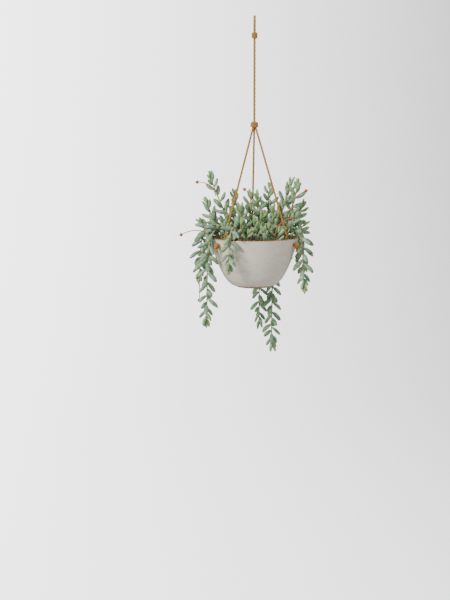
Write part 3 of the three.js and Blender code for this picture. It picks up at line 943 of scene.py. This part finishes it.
def leaf_skin():
    # A succulent's skin under farina, its own pale wax powder: blue-green and matt, darker where the powder
    # is rubbed off, yellow-green at the neck, ochre at the tip, and fresher green while the leaf is young.
    made, tree, spots = new_material("waxy_succulent_leaf")
    facts = [add(tree, "ShaderNodeAttribute", attribute_name=key) for key in ("along", "age", "tone")]
    along, age, tone = (fact.outputs["Fac"] for fact in facts)
    rubs = add(tree, "ShaderNodeTexNoise", {"Vector": spots, "Scale": 1 / (7 * MM), "Detail": 4.0})
    dust = add(tree, "ShaderNodeTexNoise", {"Vector": spots, "Scale": 1 / (1.2 * MM), "Detail": 3.0})
    skin = add(tree, "ShaderNodeMix", {"Factor": tone, "A": "557F59", "B": "6F9560"}, data_type="RGBA")
    farina = add(tree, "ShaderNodeMix", {"Factor": tone, "A": "8FB096", "B": "A3BE9B"}, data_type="RGBA")
    layers = [
        (rubs, 0.36, 0.66, 1.0, farina),  # none of it where the powder is rubbed off
        (age, 1.0, 0.0, 0.55, "98B76C"),  # young leaves
        (along, 0.3, 0.0, 0.7, "BFCB92"),  # the neck
        (along, 0.9, 1.0, 0.75, "B9793F"),  # the tip
    ]
    colour, _ = layered(tree, skin, layers)
    relief = add(tree, "ShaderNodeBump", {"Height": dust, "Strength": 0.3, "Distance": 0.2 * MM})
    wax = {"Roughness": 0.5, "Sheen Weight": 0.12, "IOR": 1.42}
    flesh = {"Subsurface Weight": 0.12, "Subsurface Radius": (0.4, 1.0, 0.3), "Subsurface Scale": 2 * MM}
    return shaded(made, {**wax, **flesh, "Base Color": colour, "Normal": relief})


def stem_skin():
    # A soft green stem, turning corky and buff where old leaves have dropped.
    made, tree, spots = new_material("succulent_stem")
    scars = add(tree, "ShaderNodeTexNoise", {"Vector": spots, "Scale": 1 / (4 * MM), "Detail": 4.0})
    cork = add(tree, "ShaderNodeMix", {"Factor": scars, "A": "7C9368", "B": "B39C74"}, data_type="RGBA")
    relief = add(tree, "ShaderNodeBump", {"Height": scars, "Strength": 0.6, "Distance": 0.5 * MM})
    return shaded(made, {"Roughness": 0.7, "Base Color": cork, "Normal": relief})


leaf_meshes = [leaf_mesh(f"leaf_{k}", mix(*LEAF_BOWS, k / (LEAF_SHAPES - 1))) for k in range(LEAF_SHAPES)]
leafy_stem = stem_tree(out_of_sight("leaves", leaf_meshes), leaf_skin(), stem_skin())
stem_sizes = {"Root Radius": STEM_ROOT_RADIUS, "Tip Radius": STEM_TIP_RADIUS}
stem_lines = {f"sprig_{i + 1}": sprig_line(i, *row) for i, row in enumerate(SPRIGS)}
stem_lines.update({f"trail_{i + 1}": trail_line(i, *row) for i, row in enumerate(TRAILS)})
for node, line in stem_lines.items():
    base = stem_base(node, line, spindles(node))
    settle(f"leafy_{node}", made_by(leafy_stem, node, stem_sizes, base), None, "leaf", node)

# ------------------------
# Buds. A few thin flower stalks arch out beyond the leaves, each with one closed, rust-red bud at its end.
# A bud is five sepals wrapped round each other.
STALKS = [
    ((-78, -12, 84), (-82, -16, 112), (-115, -20, 112)),
    ((-6, -20, 54), (-4, -24, 88), (-20, -28, 98)),
    ((72, -30, 48), (76, -34, 86), (103, -40, 96)),
    ((40, -62, 6), (44, -70, 38), (72, -74, 44)),
    ((-92, -34, 6), (-112, -38, 26), (-147, -42, 8)),
    ((-112, -22, -86), (-109, -30, -104), (-111, -32, -126)),
]  # (x, y, height above the rim) of the stalk's foot, its bend and its bud, in millimetres
STALK_RADIUS = 1.1 * MM
STALK_TIP = 0.7  # the radius at the bud, as a share of that
STALK_SIDES = 10
STALK_STEPS = 32
STALK_JOINTS = 4
JOINT_SWELL = 0.25
BUD_RADIUS = 3.7 * MM
BUD_HEIGHT = 2.1  # in radii, as is the sepals' slant
BUD_STEPS = 18
BUD_SIDES = 50
SEPALS = 5
SEPAL_SLANT = 0.35
SEPAL_EDGE = 0.1  # how far a sepal's free edge stands out, as a share of the bud's radius
BUD_SLIMNESS = 0.92  # leaves room for that edge


def bud_mesh():
    """A bud at the origin that points up: its sepals each have one edge over the next."""
    profile = []
    for k in range(BUD_STEPS + 1):
        t = k / BUD_STEPS
        swell = sin(pi * t**0.8) ** 0.85 if 0 < k < BUD_STEPS else 0
        profile.append((BUD_SLIMNESS * BUD_RADIUS * swell, BUD_RADIUS * (BUD_HEIGHT * t - 1)))
    mesh = turned("bud", profile, BUD_SIDES)
    for vertex in mesh.vertices:
        x, y, z = vertex.co
        across = SEPALS * atan2(y, x) / (2 * pi) + SEPAL_SLANT * z / BUD_RADIUS
        wrap = 1 + SEPAL_EDGE * (across % 1)
        vertex.co = (x * wrap, y * wrap, z)
    ripe = mesh.attributes.new("ripe", "FLOAT", "POINT")
    ripe.data.foreach_set("value", [1.0] * len(mesh.vertices))
    return mesh


def stalk_mesh(line):
    """A round stalk that thins towards the bud, with a small swelling at each of its joints."""
    shape = bmesh.new()
    ripe = shape.verts.layers.float.new("ripe")
    rings = []
    for i, point in enumerate(line):
        share = i / (len(line) - 1)
        ahead = heading(line, i)
        side = ahead.cross(Vector((0, 1, 0))).normalized()
        joint = max(0, cos(2 * pi * STALK_JOINTS * share)) ** 6
        radius = STALK_RADIUS * mix(1, STALK_TIP, share) * (1 + JOINT_SWELL * joint)
        rings.append(ring_round(shape, point, side, ahead.cross(side), [radius] * STALK_SIDES))
        for vertex in rings[-1]:
            vertex[ripe] = share
    for corners in between(rings):
        shape.faces.new(corners)
    shape.faces.new(rings[0])
    shape.faces.new(rings[-1])
    bmesh.ops.recalc_face_normals(shape, faces=shape.faces)
    return finished("stalk", shape)


def bud_skin():
    # Young sepals and their stalk: smooth and a little waxy, olive at the stalk's foot, then rust-red with
    # lighter ochre patches.
    made, tree, spots = new_material("young_sepals")
    ripe = add(tree, "ShaderNodeAttribute", attribute_name="ripe").outputs["Fac"]
    patches = add(tree, "ShaderNodeTexNoise", {"Vector": spots, "Scale": 1 / (3.5 * MM), "Detail": 3.0})
    red = add(tree, "ShaderNodeMix", {"Factor": patches, "A": "8A3412", "B": "C26E2E"}, data_type="RGBA")
    colour, _ = layered(tree, "8A7A3A", [(ripe, 0.05, 0.6, 1.0, red)])
    relief = add(tree, "ShaderNodeBump", {"Height": patches, "Strength": 0.3, "Distance": 0.3 * MM})
    waxy = {"Roughness": 0.5, "Subsurface Weight": 0.08}
    return shaded(made, {**waxy, "Base Color": colour, "Normal": relief})


sepal_skin = bud_skin()
for i, row in enumerate(STALKS, start=1):
    control = [Vector((x, y, RIM + height)) for x, y, height in row]
    line = [pulled(control, k / STALK_STEPS) * MM for k in range(STALK_STEPS + 1)]
    bud = bud_mesh()
    facing = (line[-1] - line[-2]).to_track_quat("Z", "Y").to_matrix().to_4x4()
    bud.transform(Matrix.Translation(line[-1]) @ facing)
    settle(f"bud_{i}", joined(f"bud_{i}", [stalk_mesh(line), bud]), sepal_skin, "bud", f"bud_stalk_{i}")

# ------------------------
# Studio. A pale floor well below the plant sweeps up into a pale wall and ceiling. They glow with painted
# light of their own, stronger on the left, and the plant has soft daylight, with a broad lamp on the left.
FLOOR_Z = -1.9
STUDIO_RADIUS = 9.0
SWEEP_RADIUS = 4.0
SWEEP_STEPS = 12
STUDIO_HEIGHT = 11.0
STUDIO_SIDES = 64
LEFT_GLOW = 4.2
RIGHT_GLOW = 0.6
GLOW_HALF_WIDTH = 2.2
LAMP_AIM = Vector((0, 0, -0.5))
LAMPS = [
    ("key", (-2.6, -2.6, 1.6), 1.4, 215),
    ("fill", (3.2, -2.2, 0.2), 2.5, 30),
    ("back", (0.8, 3.0, 1.8), 2.0, 60),
]  # (name, place, width in metres, power in watts)
DAYLIGHT = {"Color": "F2F3F5", "Strength": 0.6}


def studio_mesh():
    """A room with no corners: a flat floor, and a quarter circle between the wall and each of floor and
    ceiling."""
    profile = [(0, FLOOR_Z)]
    ceiling = FLOOR_Z + STUDIO_HEIGHT
    for start, middle in ((-90, FLOOR_Z + SWEEP_RADIUS), (0, ceiling - SWEEP_RADIUS)):
        for k in range(SWEEP_STEPS + 1):
            a = radians(start + 90 * k / SWEEP_STEPS)
            radius = STUDIO_RADIUS - SWEEP_RADIUS + SWEEP_RADIUS * cos(a)
            profile.append((radius, middle + SWEEP_RADIUS * sin(a)))
    profile.append((0, ceiling))
    return turned("studio", profile, STUDIO_SIDES)


def painted_board():
    # Matt pale grey paint on board that glows with painted light of its own: an emission brightest on the
    # left and faint on the right, in place of light falling on it from the left.
    made, tree, spots = new_material("matt_wall_paint")
    roller = add(tree, "ShaderNodeTexNoise", {"Vector": spots, "Scale": 2.0})
    paint = add(tree, "ShaderNodeMix", {"Factor": roller, "A": "BEBEBE", "B": "C2C2C1"}, data_type="RGBA")
    # Painted light: the glow's strength fades from left to right across the board.
    across = add(tree, "ShaderNodeSeparateXYZ", {"Vector": spots}).outputs["X"]
    glow = {"Value": across, "From Min": -GLOW_HALF_WIDTH, "From Max": GLOW_HALF_WIDTH}
    wash = add(tree, "ShaderNodeMapRange", {**glow, "To Min": LEFT_GLOW, "To Max": RIGHT_GLOW})
    lit = {"Emission Color": "FCFCFD", "Emission Strength": wash}
    return shaded(made, {**lit, "Base Color": paint, "Roughness": 0.95})


studio_shape = studio_mesh()
studio_shape.materials.append(painted_board())
studio = in_scene("studio", studio_shape)
studio.visible_diffuse = studio.visible_glossy = studio.visible_shadow = False

for name, place, width, power in LAMPS:
    lamp = in_scene(name, bpy.data.lights.new(name, "AREA"))
    lamp.data.size = width
    lamp.data.energy = power
    lamp.location = place
    lamp.rotation_euler = (LAMP_AIM - Vector(place)).to_track_quat("-Z", "Y").to_euler()

world = bpy.data.worlds.new("daylight")
world.use_nodes = True
feed(world.node_tree, world.node_tree.nodes["Background"], DAYLIGHT)
bpy.context.scene.world = world
